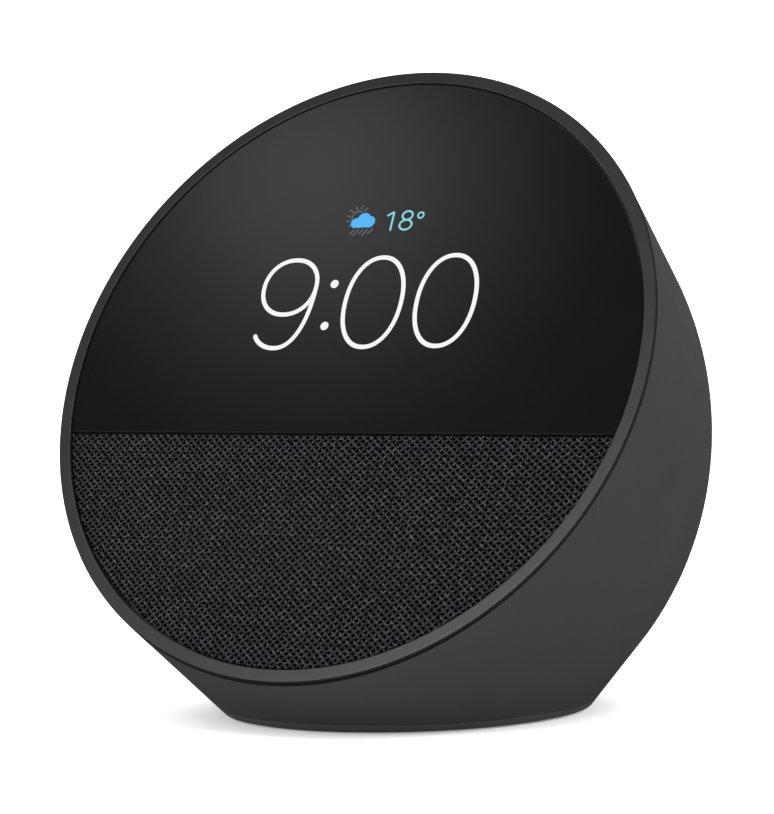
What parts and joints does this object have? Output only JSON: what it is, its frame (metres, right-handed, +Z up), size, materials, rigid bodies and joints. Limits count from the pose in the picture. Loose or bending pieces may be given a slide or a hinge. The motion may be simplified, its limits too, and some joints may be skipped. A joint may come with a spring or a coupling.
{
  "type": "smart display",
  "caption": "Small round-faced table display that leans back, with a touch screen above a cloth speaker grille, buttons on top and a power inlet behind.",
  "frame": {"origin": "on the table under the centre of the bounding box", "axes": "+Z up, the face looks towards -Y and leans back, +X is to the right of someone facing it"},
  "size_m": [0.113, 0.1028, 0.1114],
  "materials": {
    "shell": "fine moulded texture",
    "trim": "fine satin",
    "screen_glass": "polished black glass",
    "touch_film": "clear film with fine traces",
    "lcd": "polished",
    "backlight": "diffusing white",
    "sheet_steel": "pressed",
    "circuit_board": "solder mask with tracks",
    "speaker_cloth": "open diagonal weave",
    "inner_plastic": "moulded",
    "foam": "closed cell foam",
    "soft_rubber": "smooth",
    "spider_cloth": "resin dipped weave",
    "magnet": "black coated",
    "plated_steel": "plated",
    "cone_paper": "pressed paper",
    "copper": "enamelled wire",
    "thermal_pad": "soft putty",
    "heat_sink": "extruded",
    "connector": "moulded",
    "chip": "moulded epoxy",
    "antenna": "solder mask",
    "flex": "polyimide",
    "brass": "gold plated",
    "button": "fine satin",
    "jack": "moulded",
    "wire": "insulated lead",
    "weight": "cast",
    "foot_ring": "satin",
    "foot_rubber": "grippy",
    "screw_steel": "zinc plated"
  },
  "bodies": {
    "housing": {"rear_shell": "shell", "bezel_ring": "trim", "display_glass": "screen_glass", "touch_panel": "touch_film", "lcd_panel": "lcd", "lcd_backlight": "backlight", "lcd_bracket": "sheet_steel", "light_sensor": "circuit_board", "grille_cloth": "speaker_cloth", "grille_frame": "inner_plastic", "front_carrier": "inner_plastic", "speaker_gasket": "foam", "speaker_basket": "sheet_steel", "speaker_surround": "soft_rubber", "speaker_spider": "spider_cloth", "speaker_magnet": "magnet", "speaker_yoke": "plated_steel", "speaker_top_plate": "plated_steel", "main_board": "circuit_board", "processor_shield": "plated_steel", "thermal_pad": "thermal_pad", "heat_sink": "heat_sink", "wifi_module": "plated_steel", "board_connectors": "connector", "board_chips": "chip", "antenna_board": "antenna", "display_flex": "flex", "button_board": "circuit_board", "tact_switches": "plated_steel", "microphones": "brass", "mic_gaskets": "soft_rubber", "button_flex": "flex", "dc_jack": "jack", "jack_pin": "brass", "power_board": "circuit_board", "power_cable": "wire", "speaker_wires": "wire", "base_weight": "weight", "foot_ring": "foot_ring", "foot_pad": "foot_rubber", "carrier_screws": "screw_steel", "board_screws": "screw_steel", "speaker_screws": "screw_steel", "bracket_screws": "screw_steel", "button_board_screws": "screw_steel", "weight_screws": "screw_steel", "power_board_screws": "screw_steel"},
    "volume_down": {"volume_down_button": "button", "volume_down_plunger": "connector"},
    "mic_off": {"mic_off_button": "button", "mic_off_plunger": "connector"},
    "volume_up": {"volume_up_button": "button", "volume_up_plunger": "connector"},
    "speaker_diaphragm": {"speaker_cone": "cone_paper", "dust_cap": "cone_paper", "voice_coil": "copper"}
  },
  "joints": [
    {"name": "volume_down_press", "type": "slide", "parent": "housing", "child": "volume_down", "axis": [0, -0.6675, -0.7446], "range_m": [0, 0.0005], "stiffness_N_per_m": 1200},
    {"name": "mic_off_press", "type": "slide", "parent": "housing", "child": "mic_off", "axis": [0, -0.6675, -0.7446], "range_m": [0, 0.0005], "stiffness_N_per_m": 1200},
    {"name": "volume_up_press", "type": "slide", "parent": "housing", "child": "volume_up", "axis": [0, -0.6675, -0.7446], "range_m": [0, 0.0005], "stiffness_N_per_m": 1200},
    {"name": "speaker_stroke", "type": "slide", "parent": "housing", "child": "speaker_diaphragm", "axis": [0, -0.9089, 0.4171], "range_m": [-0.001, 0.001], "stiffness_N_per_m": 1500}
  ]
}
